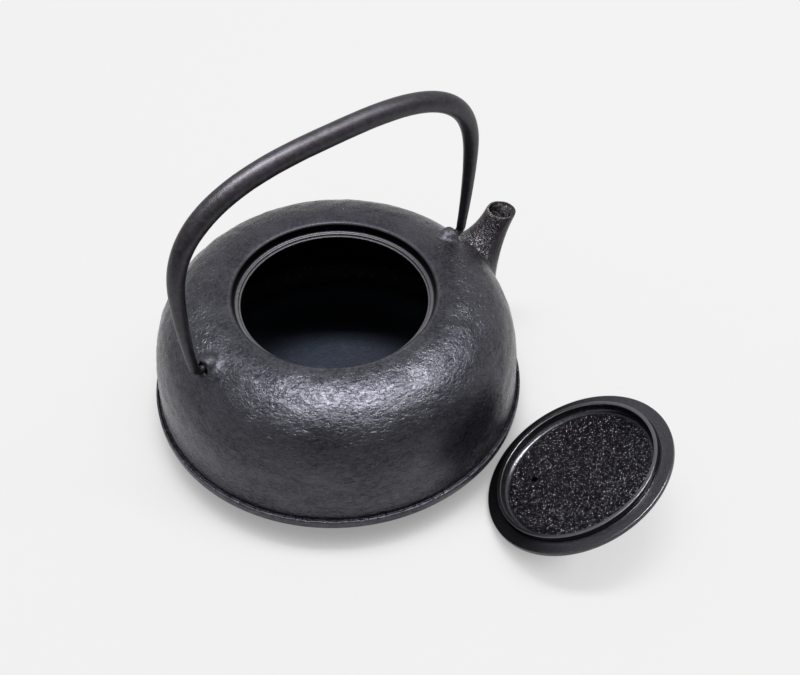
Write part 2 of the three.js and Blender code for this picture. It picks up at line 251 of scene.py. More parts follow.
def soften_junction(obj, first, second, reach, rounds):
    """Rounds the corner where two joined solids meet, as a casting fillet does."""
    points = corners(obj)
    near = [
        i for i, p in enumerate(points)
        if distance_to(second, p) < SEAM_WIDTH and distance_to(first, p) < SEAM_WIDTH
    ]
    seam = KDTree(len(near))
    for i in near:
        seam.insert(Vector(points[i]), i)
    seam.balance()
    away = np.array([seam.find(Vector(p))[2] for p in points])
    fade = np.clip(1 - away / reach, 0, 1)
    fade = (fade * fade * (3 - 2 * fade))[:, None] * SEAM_PULL
    edges = np.empty(len(obj.data.edges) * 2, int)
    obj.data.edges.foreach_get("vertices", edges)
    edges = edges.reshape(-1, 2)
    count = np.bincount(edges.ravel(), minlength=len(points))[:, None]
    for _ in range(rounds):
        total = np.zeros_like(points)
        np.add.at(total, edges[:, 0], points[edges[:, 1]])
        np.add.at(total, edges[:, 1], points[edges[:, 0]])
        points += (total / np.maximum(count, 1) - points) * fade
    set_corners(obj, points)


def finish_piece(obj, body, node, materials):
    """Gives a piece its materials and shading, its body, and the node that it replaces."""
    obj.data.materials.clear()
    for material in materials:
        obj.data.materials.append(material)
    obj.data.shade_smooth()
    obj.data.set_sharp_from_angle(angle=math.radians(SMOOTH_ANGLE))
    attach(obj, body)
    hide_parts(node)


# Node helpers


def make_input(tree, name, kind):
    return tree.interface.new_socket(name=name, in_out="INPUT", socket_type=kind)


def new_material(name):
    material = bpy.data.materials.new(name)
    material.use_nodes = True
    tree = material.node_tree
    return material, tree, tree.nodes["Principled BSDF"]


def put(tree, socket, value):
    """Links a socket to another one, or gives it a number or a colour."""
    if hasattr(value, "is_linked"):
        tree.links.new(value, socket)
    elif hasattr(value, "__len__"):
        socket.default_value = (*value[:3], 1)
    else:
        socket.default_value = value


def math_node(tree, operation, *values):
    node = tree.nodes.new("ShaderNodeMath")
    node.operation = operation
    for socket, value in zip(node.inputs, values):
        put(tree, socket, value)
    return node.outputs[0]


def product(tree, first, second):
    return math_node(tree, "MULTIPLY", first, second)


def linear(tree, value, factor, offset):
    """A value times a factor, plus an offset."""
    return math_node(tree, "MULTIPLY_ADD", value, factor, offset)


def colour_socket(sockets, name):
    return next(s for s in sockets if s.type == "RGBA" and s.name == name)


def blend(tree, factor, first, second):
    """Colour between two colours or sockets."""
    node = tree.nodes.new("ShaderNodeMix")
    node.data_type = "RGBA"
    put(tree, node.inputs["Factor"], factor)
    put(tree, colour_socket(node.inputs, "A"), first)
    put(tree, colour_socket(node.inputs, "B"), second)
    return colour_socket(node.outputs, "Result")


def along(tree, vector, way):
    """How far a vector reaches along a way."""
    node = tree.nodes.new("ShaderNodeVectorMath")
    node.operation = "DOT_PRODUCT"
    tree.links.new(vector, node.inputs[0])
    node.inputs[1].default_value = way
    return node.outputs["Value"]


def ramp(tree, value, low, high, to_low=0.0, to_high=1.0):
    """Eases from one number to another as the value goes from low to high."""
    node = tree.nodes.new("ShaderNodeMapRange")
    node.interpolation_type = "SMOOTHSTEP"
    tree.links.new(value, node.inputs["Value"])
    node.inputs["From Min"].default_value = low
    node.inputs["From Max"].default_value = high
    node.inputs["To Min"].default_value = to_low
    node.inputs["To Max"].default_value = to_high
    return node.outputs["Result"]


def noise_value(tree, vector, scale, detail=2, roughness=0.5, distortion=0):
    node = tree.nodes.new("ShaderNodeTexNoise")
    put(tree, node.inputs["Vector"], vector)
    put(tree, node.inputs["Scale"], scale)
    node.inputs["Detail"].default_value = detail
    node.inputs["Roughness"].default_value = roughness
    node.inputs["Distortion"].default_value = distortion
    return node.outputs["Fac"]


# Body casting: lengths in mm, slants in degrees

BODY_SEGMENTS = 384
SKIN_SPACING = 1.5
FLOOR_THICKNESS = 3.6
SEAT_DEPTH = 4.8
SHOULDER_REACH = 27.3
WALL_SHOULDER, WALL_TOP, HOLLOW_TOP = 28.8, 67.3, 64.1

SPOUT_STEPS, SPOUT_SIDES = 44, 64
SPOUT_ROOT, SPOUT_BEND, SPOUT_TIP = (77.7, 47.7), (94.2, 50.8), (109.2, 73.2)
SPOUT_ROOT_DEPTH, SPOUT_ROOT_WIDTH = 30, 34.5
SPOUT_NARROWING = 2.3
SPOUT_SLANTS = 19, 84
SPOUT_WALL, SPOUT_LIP_WALL = 3, 1.5
SPOUT_OVERRUN = 1.5
SPOUT_FILLET, SPOUT_FILLET_ROUNDS = 7, 26

EAR_SIDES = 40
EAR_INNER, EAR_FACE = 65.4, 75.0
EAR_HOLE = ((70.4, 2.6), (70.9, 3.1), (74.1, 3.1), (74.7, 3.35), (75.05, 3.8), (76.0, 3.8))
EAR_FILLET, EAR_FILLET_ROUNDS = 3.4, 14

SWELL_BOTTOM, SWELL_BOTTOM_FADE = 23, 6
SWELL_MOUTH, SWELL_MOUTH_FADE = 53, 8
SWELL_AROUND, SWELL_ALONG = 9, 7
INSIDE_DEPTH = 0.45


def outer_runs(s):
    """Runs of the casting's outer half-section, from the middle of the base to the rim."""
    top, base, flange, wall = s.flange_top, s.base_radius, s.flange_radius, s.wall_radius
    rim = s.mouth_radius + 2
    return [
        [(0, 0), (base - 12, 0), (base - 2, 0.05)],
        bezier([(base, 0.15), (base + 14, 0.4), (flange - 9, 2.5), (flange - 1.1, top - 4.9)],
               SKIN_SPACING * 1.6),
        bezier([(flange - 1.1, top - 4.9), (flange, top - 4.8), (flange, top - 3.7)], 0.5),
        [(flange, top - 2.6), (flange, top - 1.0)],
        bezier([(flange, top - 1.0), (flange, top), (flange - 0.9, top)], 0.35),
        bezier([(flange - 0.9, top), (flange - 1.3, top - 0.1), (flange - 1.5, top - 0.5)], 0.25),
        bezier([(flange - 1.5, top - 0.5), (wall + 0.9, top - 1.0), (wall + 0.7, top)], 0.25),
        bezier([(wall + 0.7, top + 0.4), (wall + 0.6, top + 3), (wall, top + 6),
                (wall, WALL_SHOULDER)], SKIN_SPACING),
        bezier([(wall, WALL_SHOULDER), (wall, WALL_TOP),
                (s.mouth_radius + SHOULDER_REACH, s.mouth_height - 0.5),
                (rim, s.mouth_height)], SKIN_SPACING * 1.15),
    ]


def hollow_outline(s):
    """Half-section of the hollow, from its floor past the stepped seat to over the rim."""
    inside = s.wall_radius - s.wall
    seat = s.mouth_height - SEAT_DEPTH
    collar = s.mouth_radius + 2.6
    floor = FLOOR_THICKNESS
    mouth, rim = s.mouth_radius, s.mouth_height
    return outline_through(
        [(0, floor), (20, floor), (40, floor), (s.base_radius, floor)],
        bezier([(s.base_radius, floor), (s.base_radius + 14, floor), (inside - 3.2, 8),
                (inside, s.flange_top + 2)], 3),
        bezier([(inside, WALL_SHOULDER), (inside, HOLLOW_TOP), (mouth + SHOULDER_REACH, rim - 3.7),
                (collar, rim - s.wall)], 3),
        [(collar, seat - 3.0), (46.5, seat - 3.0), (46.0, seat - 2.6)],
        bezier([(46.0, seat - 1.4), (46.0, seat - 1.1), (46.3, seat - 1.1)], 0.12),
        [(46.8, seat - 1.1), (46.95, seat - 0.95)],
        bezier([(46.95, seat - 0.4), (47.0, seat), (47.4, seat + 0.03)], 0.15),
        [(47.65, seat + 0.03), (47.9, seat + 0.02), (48.15, seat + 0.01)],
        bezier([(48.3, seat), (48.75, seat + 0.05), (48.8, seat + 0.6)], 0.15),
        bezier([(mouth - 0.15, rim - 0.9), (mouth, rim - 0.05), (mouth + 1.2, rim + 0.05)], 0.3),
        [(mouth + 1.6, rim + 0.6), (0, rim + 0.6)],
    )


def circle_turns(sides):
    return np.linspace(0, 2 * math.pi, sides, endpoint=False)


def spout_rings(s, inset_at, overrun=0):
    """Rings of the spout from inside the wall to its lip, in mm."""
    root, bend, tip = (np.array(place) for place in (SPOUT_ROOT, SPOUT_BEND, SPOUT_TIP))
    low, high = SPOUT_SLANTS
    around = circle_turns(SPOUT_SIDES)
    rings = []
    for step in range(SPOUT_STEPS + 1):
        t = step / SPOUT_STEPS
        centre = (1 - t) ** 2 * root + 2 * t * (1 - t) * bend + t * t * tip
        narrowing = 1 - (1 - t) ** SPOUT_NARROWING
        slant = math.radians(low + (high - low) * t * t * (3 - 2 * t))
        across = np.array([math.sin(slant), -math.cos(slant)])
        depth, width = (
            start + (s.spout_tip_radius - start) * narrowing - inset_at(t)
            for start in (SPOUT_ROOT_DEPTH, SPOUT_ROOT_WIDTH)
        )
        rings.append(ring_at(centre, across, depth, width, around))
    if overrun:
        rings.append(rings[-1] + np.array([-across[1], 0, across[0]]) * overrun)
    return rings


def ring_at(centre, across, depth, width, around):
    reach = depth * np.cos(around)
    return np.stack(
        [centre[0] + across[0] * reach, width * np.sin(around), centre[1] + across[1] * reach], 1
    )


def lip_inset(t):
    """Rounds the outer edge of the spout's lip."""
    edge = max(0.0, (t - 0.975) / 0.025)
    return 0.3 * edge**3


def bore_inset(t):
    """Wall of the spout, opening to a rounded inner edge at the lip."""
    wall = SPOUT_WALL + (SPOUT_LIP_WALL - SPOUT_WALL) * t
    return wall - 0.35 * max(0.0, (t - 0.96) / 0.04) ** 2


def ear_stub(s, side):
    """A stub on the hinge line with a round inner end and an eased face."""
    r = s.ear_radius
    turns = np.linspace(0.06, math.pi / 2, 9)
    stations = [(EAR_INNER + r * (1 - math.cos(a)), r * math.sin(a)) for a in turns]
    eased = ((3.0, 0), (1.4, 0), (0.6, 0.15), (0.15, 0.5), (0, 0.95))
    stations += [(EAR_FACE - back, r - drop) for back, drop in eased]
    return hinge_stub(s, side, stations)


def hinge_stub(s, side, stations):
    """Solid on the hinge line from pairs of a distance from the middle and a radius."""
    around = circle_turns(EAR_SIDES)
    rings = [
        np.stack([np.full(len(around), side * x + s.ear_shift), side * r * np.cos(around),
                  s.hinge_height + r * np.sin(around)], 1)
        for x, r in stations
    ]
    return loft("stub", rings)


def swell(points, directions, depth):
    """Uneven swell of the casting's skin, fading out over the flange, rim and base."""
    radius = np.hypot(points[:, 0], points[:, 1])
    height = points[:, 2]
    keep = np.clip((height / MM - SWELL_BOTTOM) / SWELL_BOTTOM_FADE, 0, 1)
    keep *= np.clip((radius / MM - SWELL_MOUTH) / SWELL_MOUTH_FADE, 0, 1)
    for i in np.nonzero(keep > 0)[0]:
        x, y, z = points[i]
        rise = (z - radius[i]) / MM / SWELL_ALONG
        ring = Vector((x / radius[i] * SWELL_AROUND, y / radius[i] * SWELL_AROUND, rise))
        value = noise.noise(ring) + 0.6 * noise.noise(ring * 2.3 + Vector((3, 7, 1)))
        points[i] += directions[i] * value * depth * MM * keep[i]
    return points


def cast_on(body, part, fillet, rounds):
    """Joins a solid to the casting and rounds the corner between them."""
    before, added = tree_of(body), tree_of(part)
    combine(body, part, "UNION")
    soften_junction(body, before, added, fillet * MM, rounds)


class KETTLE_OT_body(bpy.types.Operator):
    """Make the body casting with its spout, ears, mouth seat and seam flange"""

    bl_idname = "kettle.body"
    bl_label = "Body Casting"

    def execute(self, context):
        s = context.scene.kettle_body
        mouth, rim = s.mouth_radius, s.mouth_height
        top_edge = [(mouth + 0.4, rim + 0.02), (mouth - 4, rim), (0, rim)]
        outline = outline_through(*outer_runs(s), top_edge)
        body = revolve("body_casting", outline, BODY_SEGMENTS)
        spout = loft("spout", spout_rings(s, lip_inset))
        cast_on(body, spout, SPOUT_FILLET, SPOUT_FILLET_ROUNDS)
        for side in (1, -1):
            cast_on(body, ear_stub(s, side), EAR_FILLET, EAR_FILLET_ROUNDS)
        set_corners(body, swell(corners(body), normals(body), s.relief))
        skin_tree = tree_of(body)
        hollow = revolve("hollow", hollow_outline(s), BODY_SEGMENTS)
        for side in (1, -1):
            combine(hollow, ear_stub(s, side), "DIFFERENCE")
        combine(body, hollow, "DIFFERENCE")
        bore = loft("bore", spout_rings(s, bore_inset, SPOUT_OVERRUN))
        combine(body, bore, "DIFFERENCE")
        for side in (1, -1):
            combine(body, hinge_stub(s, side, EAR_HOLE), "DIFFERENCE")
        finish_piece(body, "kettle", "kettle_body", [body_iron(), inside_iron()])
        for face in body.data.polygons:
            face.material_index = int(distance_to(skin_tree, face.center) > INSIDE_DEPTH * MM)
        return {"FINISHED"}


# Bail handle

HOOK_PIN = (71.2, 73, 75)
BEND_STEPS, LEG_STEPS, ARCH_STEPS = 12, 25, 61
BAR_SIDES = 40
BAR_SIZES = ("Pin Radius", "Foot Radius", "Arch Radius",
             "Hinge Height", "Foot Height", "Arch Height", "Taper")
BAR_WAVE, BAR_RIPPLE, RIPPLE_SHARE = 9 * MM, 3.5 * MM, 0.4
BAR_HAMMERING, HAMMERING_LOSS = 0.05, 0.8


def handle_line(s):
    """Centre line of the handle from one pin to the other, in the row frame, in metres."""
    half = [(x, 0) for x in HOOK_PIN]
    for turn in np.linspace(0, math.pi / 2, BEND_STEPS):
        half.append((s.foot - s.bend * (1 - math.sin(turn)), s.bend * (1 - math.cos(turn))))
    for rise in np.linspace(0, 1, LEG_STEPS)[1:]:
        half.append((s.foot + (s.half_width - s.foot) * math.sin(rise * math.pi / 2),
                     s.bend + (s.corner_start - s.bend) * rise))
    power = 2 / s.squareness
    for turn in np.linspace(0, math.pi / 2, ARCH_STEPS)[1:]:
        half.append((s.half_width * abs(math.cos(turn)) ** power,
                     s.corner_start + (s.height - s.corner_start) * math.sin(turn) ** power))
    line = half + [(-x, h) for x, h in reversed(half[:-1])]
    lean = math.radians(s.lean)
    back, up = -math.sin(lean), math.cos(lean)
    body = bpy.context.scene.kettle_body
    hinge, shift = body.hinge_height, body.ear_shift
    return [Vector((x + shift, h * back, hinge + h * up)) * MM for x, h in line]


def bar_tree():
    """Geometry nodes that sweep a bar along a line, thinner towards the low ends."""
    tree = bpy.data.node_groups.new("Tapered Bar", "GeometryNodeTree")
    make_input(tree, "Geometry", "NodeSocketGeometry")
    for name in BAR_SIZES:
        make_input(tree, name, "NodeSocketFloat")
    make_input(tree, "Sides", "NodeSocketInt")
    make_input(tree, "Material", "NodeSocketMaterial")
    tree.interface.new_socket(name="Geometry", in_out="OUTPUT", socket_type="NodeSocketGeometry")
    given = tree.nodes.new("NodeGroupInput")
    curve = tree.nodes.new("GeometryNodeMeshToCurve")
    place = tree.nodes.new("GeometryNodeInputPosition")
    split = tree.nodes.new("ShaderNodeSeparateXYZ")
    circle = tree.nodes.new("GeometryNodeCurvePrimitiveCircle")
    sweep = tree.nodes.new("GeometryNodeCurveToMesh")
    smooth = tree.nodes.new("GeometryNodeSetShadeSmooth")
    realize = tree.nodes.new("GeometryNodeRealizeInstances")
    paint = tree.nodes.new("GeometryNodeSetMaterial")
    out = tree.nodes.new("NodeGroupOutput")
    circle.inputs["Radius"].default_value = 1
    sweep.inputs["Fill Caps"].default_value = True
    link = tree.links.new
    link(given.outputs["Geometry"], curve.inputs["Mesh"])
    link(place.outputs["Position"], split.inputs["Vector"])
    height, sizes = split.outputs["Z"], given.outputs
    hook = climb(tree, height, sizes, "Hinge Height", "Foot Height", "Pin Radius", "Foot Radius")
    leg = climb(tree, height, sizes, "Foot Height", "Arch Height")
    leg = math_node(tree, "POWER", leg, sizes["Taper"])
    growth = math_node(tree, "SUBTRACT", sizes["Arch Radius"], sizes["Foot Radius"])
    thick = linear(tree, leg, growth, hook)
    link(given.outputs["Sides"], circle.inputs["Resolution"])
    link(curve.outputs["Curve"], sweep.inputs["Curve"])
    link(circle.outputs["Curve"], sweep.inputs["Profile Curve"])
    link(thick, sweep.inputs["Scale"])
    link(sweep.outputs["Mesh"], smooth.inputs["Geometry"])
    link(smooth.outputs["Geometry"], realize.inputs["Geometry"])
    link(realize.outputs["Geometry"], paint.inputs["Geometry"])
    link(given.outputs["Material"], paint.inputs["Material"])
    link(paint.outputs["Geometry"], out.inputs["Geometry"])
    return tree


def climb(tree, height, sizes, low, high, start=None, end=None):
    """How far a height has climbed between two named heights, or a value that goes with it."""
    node = tree.nodes.new("ShaderNodeMapRange")
    tree.links.new(height, node.inputs["Value"])
    tree.links.new(sizes[low], node.inputs["From Min"])
    tree.links.new(sizes[high], node.inputs["From Max"])
    if start:
        tree.links.new(sizes[start], node.inputs["To Min"])
        tree.links.new(sizes[end], node.inputs["To Max"])
    return node.outputs["Result"]


class KETTLE_OT_handle(bpy.types.Operator):
    """Make the bail handle that hooks into the ears"""

    bl_idname = "kettle.handle"
    bl_label = "Bail Handle"

    def execute(self, context):
        s = context.scene.kettle_handle
        line = handle_line(s)
        mesh = bpy.data.meshes.new("bail")
        mesh.from_pydata(line, [(i, i + 1) for i in range(len(line) - 1)], [])
        bail = bpy.data.objects.new("bail", mesh)
        context.scene.collection.objects.link(bail)
        material = handle_iron()
        hinge = context.scene.kettle_body.hinge_height
        values = {
            "Pin Radius": s.pin_radius * MM,
            "Foot Radius": s.foot_radius * MM,
            "Arch Radius": s.arch_radius * MM,
            "Hinge Height": hinge * MM,
            "Foot Height": (hinge + s.bend) * MM,
            "Arch Height": (hinge + s.taper_top) * MM,
            "Taper": s.taper,
            "Sides": BAR_SIDES,
            "Material": material,
        }
        modifier = bail.modifiers.new("bar", "NODES")
        modifier.node_group = bar_tree()
        for item in modifier.node_group.interface.items_tree:
            if item.in_out == "INPUT" and item.name in values:
                modifier[item.identifier] = values[item.name]
        apply_modifiers(bail)
        points = corners(bail)
        directions = normals(bail)
        for i, direction in enumerate(directions):
            spot = Vector(points[i])
            wave = noise.noise(spot / BAR_WAVE) + RIPPLE_SHARE * noise.noise(spot / BAR_RIPPLE)
            points[i] += direction * (wave - HAMMERING_LOSS) * BAR_HAMMERING * MM
        set_corners(bail, points)
        finish_piece(bail, "handle", "bail_handle", [material])
        return {"FINISHED"}


# Lid and knob, turned the right way up and then laid on the table

LID_SEGMENTS = 240
LID_TILT, LID_HEADING = 29.8, 128.1
LID_X, LID_Y = 50.1, -126.4
LID_REST_RADIUS, LID_REST_HEIGHT = 47.65, 2.05
GRAIN_RADIUS, GRAIN_HEIGHT, GRAIN_SLOPE, GRAIN_FADE = 36.8, 3.6, -0.2, 2.0
COARSE_GRAIN, FINE_GRAIN = 2.2, 1.5
STEAM_HOLE_SIDES, STEAM_HOLE_HEADING, STEAM_HOLE_OFFSET = 28, 182, 24.4
KNOB_SEGMENTS = 96
TENON_DEPTH = 1.8


def lid_placement():
    """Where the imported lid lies: upside down on its edge and knob."""
    tilt = math.radians(LID_TILT)
    height = LID_REST_RADIUS * math.sin(tilt) + LID_REST_HEIGHT * math.cos(tilt)
    turn = Euler((0, math.pi + tilt, math.radians(LID_HEADING)))
    return turn, Vector((LID_X, LID_Y, height)) * MM


def lay_down(obj):
    turn, place = lid_placement()
    obj.data.transform(Matrix.Translation(place) @ turn.to_matrix().to_4x4())


def lid_outline(s):
    """Half-section of the lid, the right way up, from inside the dish to the knob's socket."""
    edge, lip_in, lip_out, low = s.edge, s.lip_inner, s.lip_outer, -s.lip_height
    r = s.radius
    return outline_through(
        bezier([(0, 3.4), (18.4, 3.4), (35.6, 2.2)], 0.85),
        bezier([(35.6, 2.2), (38.9, 2.05), (39.1, -0.6)], 0.3),
        [(39.15, -1.4), (39.2, low + 0.8)],
        bezier([(lip_in - 0.05, low + 0.35), (lip_in, low), (lip_in + 0.35, low)], 0.15),
        [(lip_in + 1.1, low - 0.03), (lip_out - 0.35, low)],
        bezier([(lip_out - 0.35, low), (lip_out, low), (lip_out, low + 0.35)], 0.15),
        [(lip_out, -1.6), (lip_out, -0.8), (lip_out, 0.1)],
        bezier([(lip_out, 0.1), (lip_out + 0.1, 0.45), (lip_out + 0.4, 0.45),
                (lip_out + 0.6, -0.1)], 0.15),
        bezier([(lip_out + 0.6, -0.1), (lip_out + 0.9, -0.2), (lip_out + 1.5, 0)], 0.2),
        [(lip_out + 3.5, 0), (r - 1.2, 0)],
        bezier([(r - 0.7, 0), (r, 0), (r, 0.65)], 0.2),
        [(r, 1.1), (r, edge - 0.7)],
        bezier([(r, edge - 0.6), (r, edge), (r - 0.7, edge)], 0.2),
        bezier([(r - 1.2, edge + 0.02), (36.8, edge + 1.2), (r / 2, s.crown), (9, s.crown)], 1.2),
        [(5, s.crown), (3.1, s.crown), (3.1, s.crown - 2.1), (0, s.crown - 2.1)],
    )


def roughen_dish(points, directions, s):
    """Coarse sandy grain on the lid's hollow underside."""
    for i, (x, y, z) in enumerate(points / MM):
        radius = math.hypot(x, y)
        if z > GRAIN_HEIGHT or radius > GRAIN_RADIUS or directions[i][2] > GRAIN_SLOPE:
            continue
        fade = min(1.0, (GRAIN_RADIUS - radius) / GRAIN_FADE)
        spot = Vector((x, y, z))
        fine = noise.noise(spot / FINE_GRAIN + Vector((5, 2, 9)))
        wave = noise.noise(spot / COARSE_GRAIN) + 0.8 * fine
        points[i] += directions[i] * wave * s.grain * MM * fade
    return points


def steam_hole_middle():
    """Middle of the steam hole on the lid's own plane, in mm."""
    heading = math.radians(STEAM_HOLE_HEADING)
    return STEAM_HOLE_OFFSET * math.cos(heading), STEAM_HOLE_OFFSET * math.sin(heading)


def steam_hole_cutter(hole):
    """Solid of the steam hole, wide in the dish and narrow at the crown."""
    around = circle_turns(STEAM_HOLE_SIDES)
    x, y = steam_hole_middle()
    stations = [(-2, 2.4), (2.7, hole + 0.15), (3.3, hole),
                (4.4, hole - 0.1), (5.4, hole - 0.7), (12, hole - 0.7)]
    rings = [
        np.stack([x + r * np.cos(around), y + r * np.sin(around), np.full(len(around), z)], 1)
        for z, r in stations
    ]
    return loft("steam_hole", rings)


class KETTLE_OT_lid(bpy.types.Operator):
    """Make the lid with its lip, grainy dish and steam hole, lying upside down"""

    bl_idname = "kettle.lid"
    bl_label = "Lid"

    def execute(self, context):
        s = context.scene.kettle_lid
        lid = revolve("lid_casting", lid_outline(s), LID_SEGMENTS)
        set_corners(lid, roughen_dish(corners(lid), normals(lid), s))
        combine(lid, steam_hole_cutter(s.steam_hole), "DIFFERENCE")
        lay_down(lid)
        finish_piece(lid, "lid_assembly", "lid", [lid_iron()])
        return {"FINISHED"}


def knob_outline(s):
    """Half-section of the knob, with its top found so that it touches the table."""
    foot, neck, r, rounding, dome = s.crown + 0.3, 5.0, s.knob_radius, 2.8, 1.3
    low, high = knob_reach()
    top = high - low + foot - TENON_DEPTH
    edge = top - dome
    tenon = foot - TENON_DEPTH
    return outline_through(
        [(0, tenon), (2.5, tenon), (2.8, foot - 1.5), (2.8, foot), (6.8, foot)],
        bezier([(6.8, foot), (7.0, foot), (7.0, foot + 0.45)], 0.2),
        bezier([(7.0, foot + 0.45), (7.0, foot + 1.0), (6.4, foot + 1.1)], 0.25),
        bezier([(6.4, foot + 1.1), (neck, foot + 1.8), (neck, foot + 5.5),
                (r, edge - rounding)], 0.8),
        bezier([(r, edge - rounding), (r, edge), (r - rounding, edge)], 0.5),
        bezier([(r - rounding, edge), (r / 3, top), (0, top)], 0.8),
    )


def knob_reach():
    """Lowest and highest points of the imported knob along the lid's own axis, in mm."""
    turn, place = lid_placement()
    upright = turn.to_matrix().transposed()
    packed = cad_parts["lid_knob"].data.vertices
    heights = [(upright @ (v.co - place)).z / MM for v in packed]
    return min(heights), max(heights)


class KETTLE_OT_knob(bpy.types.Operator):
    """Make the knob on the lid's crown"""

    bl_idname = "kettle.knob"
    bl_label = "Lid Knob"

    def execute(self, context):
        s = context.scene.kettle_lid
        knob = revolve("knob", knob_outline(s), KNOB_SEGMENTS)
        lay_down(knob)
        finish_piece(knob, "lid_assembly", "lid_knob", [knob_iron()])
        return {"FINISHED"}


# Materials: limits in mm, from where a finish begins to where it is full

MOUTH_FADE, MOUTH_EDGE = (67, 54), (52.2, 51.2)
SPOUT_X, SPOUT_HEIGHT, SPOUT_ROOT_X = (83, 88), (46, 56), (94, 88)
SPOUT_LIP_X, SPOUT_LIP_HEIGHT = (94, 97), (73.0, 73.9)
SPOUT_SIDE, SPOUT_SIDE_REACH = (0.788, -0.616, -0.51), (51.5, 47.5)
EAR_X, EAR_BREADTH, EAR_RADIUS = (63, 66), (0.35, 0.2), (78, 76)
BORE_X, FLOOR_HEIGHT, RIM_HEIGHT = (99, 104), (9, 4.5), (77.9, 78.5)
SEAT_BOTTOM, SEAT_TOP = (72.2, 72.8), (75.2, 74.6)
DISH_RADIUS, DISH_HEIGHT, DISH_FALL = (37.6, 36.2), (4.45, 4.25), 0.045
CREST_HEIGHT = (-2.7, -3.0)
WRINKLE_STRETCH = 58

# Colours that only one place has

# The spout's pale fleck colour is a painted glint
SPOUT_PIT, SPOUT_PAINTED_GLINT = (0.017, 0.015, 0.018), (0.13, 0.125, 0.135)
# The dark edge colour is painted shade on the mouth's edge
# The near-black inside colour is painted shade in the hollow
EDGE_PAINTED_SHADE, INSIDE_PAINTED_SHADE = (0.012, 0.012, 0.013), (0.002, 0.0025, 0.004)
BORE_HOLLOW, BORE_LUMP = (0.060, 0.056, 0.060), (0.14, 0.13, 0.135)
# The pale glitter colour is painted sparkle
DISH_BLACK, DISH_PAINTED_SPARKLE = (0.002, 0.002, 0.003), (0.34, 0.34, 0.365)
# The pale crest colour is a painted highlight
# The steam hole's black is painted shade
CREST_PAINTED_HIGHLIGHT, HOLE_PAINTED_SHADE = (0.16, 0.16, 0.17), (0, 0, 0)
METALLIC = 0.97

SKIN_INPUTS = ("Wrinkle Scale", "Wrinkle Depth", "Grain Scale", "Grain Depth", "Speck Scale")
SKIN_OUTPUTS = ("Height", "Tone", "Grain", "Specks")


def skin_group():
    """Shared cast skin: wrinkles, sandy grain and specks, with named inputs and outputs."""
    name = "Cast Skin"
    if name in bpy.data.node_groups:
        return bpy.data.node_groups[name]
    tree = bpy.data.node_groups.new(name, "ShaderNodeTree")
    make_input(tree, "Vector", "NodeSocketVector")
    for label in SKIN_INPUTS:
        make_input(tree, label, "NodeSocketFloat")
    for label in SKIN_OUTPUTS:
        tree.interface.new_socket(name=label, in_out="OUTPUT", socket_type="NodeSocketFloat")
    given = tree.nodes.new("NodeGroupInput").outputs
    out = tree.nodes.new("NodeGroupOutput")
    vector = given["Vector"]
    wrinkle = noise_value(tree, vector, given["Wrinkle Scale"], 3, 0.55, distortion=0.9)
    from_middle = math_node(tree, "ABSOLUTE", math_node(tree, "SUBTRACT", wrinkle, 0.5))
    ridge = math_node(tree, "SUBTRACT", 1, product(tree, from_middle, 2))
    folds = math_node(tree, "POWER", ridge, 2)
    lumps = linear(tree, folds, 0.08, product(tree, wrinkle, 2))
    grain = noise_value(tree, vector, given["Grain Scale"], roughness=0.6)
    raised = product(tree, lumps, given["Wrinkle Depth"])
    height = linear(tree, grain, given["Grain Depth"], raised)
    specks = noise_value(tree, vector, given["Speck Scale"], detail=1)
    specks = ramp(tree, specks, 0.66, 0.74)
    for label, value in zip(SKIN_OUTPUTS, (height, wrinkle, grain, specks)):
        tree.links.new(value, out.inputs[label])
    return tree


def skin(tree, vector, **values):
    """Places the cast skin and gives its outputs; grain_depth sets its input Grain Depth."""
    node = tree.nodes.new("ShaderNodeGroup")
    node.node_tree = skin_group()
    tree.links.new(vector, node.inputs["Vector"])
    for name, value in values.items():
        put(tree, node.inputs[name.replace("_", " ").title()], value)
    return node.outputs


def finish_iron(tree, shader, base, roughness, height, depth):
    """Feeds the shader with colour, roughness and a bump that is the given depth in mm."""
    tree.links.new(base, shader.inputs["Base Color"])
    tree.links.new(roughness, shader.inputs["Roughness"])
    shader.inputs["Metallic"].default_value = METALLIC
    bump = tree.nodes.new("ShaderNodeBump")
    bump.inputs["Distance"].default_value = depth * MM
    bump.inputs["Strength"].default_value = 1
    tree.links.new(height, bump.inputs["Height"])
    tree.links.new(bump.outputs["Normal"], shader.inputs["Normal"])


def object_coordinates(tree):
    return tree.nodes.new("ShaderNodeTexCoord").outputs["Object"]


def scaled(tree, vector):
    """Coordinates in millimetres."""
    node = tree.nodes.new("ShaderNodeVectorMath")
    node.operation = "SCALE"
    tree.links.new(vector, node.inputs["Vector"])
    node.inputs["Scale"].default_value = 1 / MM
    return node.outputs["Vector"]


def round_coordinates(tree, vector):
    """Place, height and radius around the axis, in mm."""
    split = tree.nodes.new("ShaderNodeSeparateXYZ")
    tree.links.new(vector, split.inputs["Vector"])
    x, y, z = (math_node(tree, "DIVIDE", split.outputs[axis], MM) for axis in "XYZ")
    square = linear(tree, x, x, product(tree, y, y))
    radius = math_node(tree, "MAXIMUM", math_node(tree, "SQRT", square), 0.01)
    return {"x": x, "y": y, "height": z, "radius": radius}


def unrolled(tree, place, stretch):
    """A vector in mm that runs along the wall, stretched around the axis without a seam."""
    join = tree.nodes.new("ShaderNodeCombineXYZ")
    around = math_node(tree, "DIVIDE", stretch, place["radius"])
    tree.links.new(product(tree, place["x"], around), join.inputs["X"])
    tree.links.new(product(tree, place["y"], around), join.inputs["Y"])
    drop = math_node(tree, "SUBTRACT", place["height"], place["radius"])
    tree.links.new(drop, join.inputs["Z"])
    return join.outputs["Vector"]


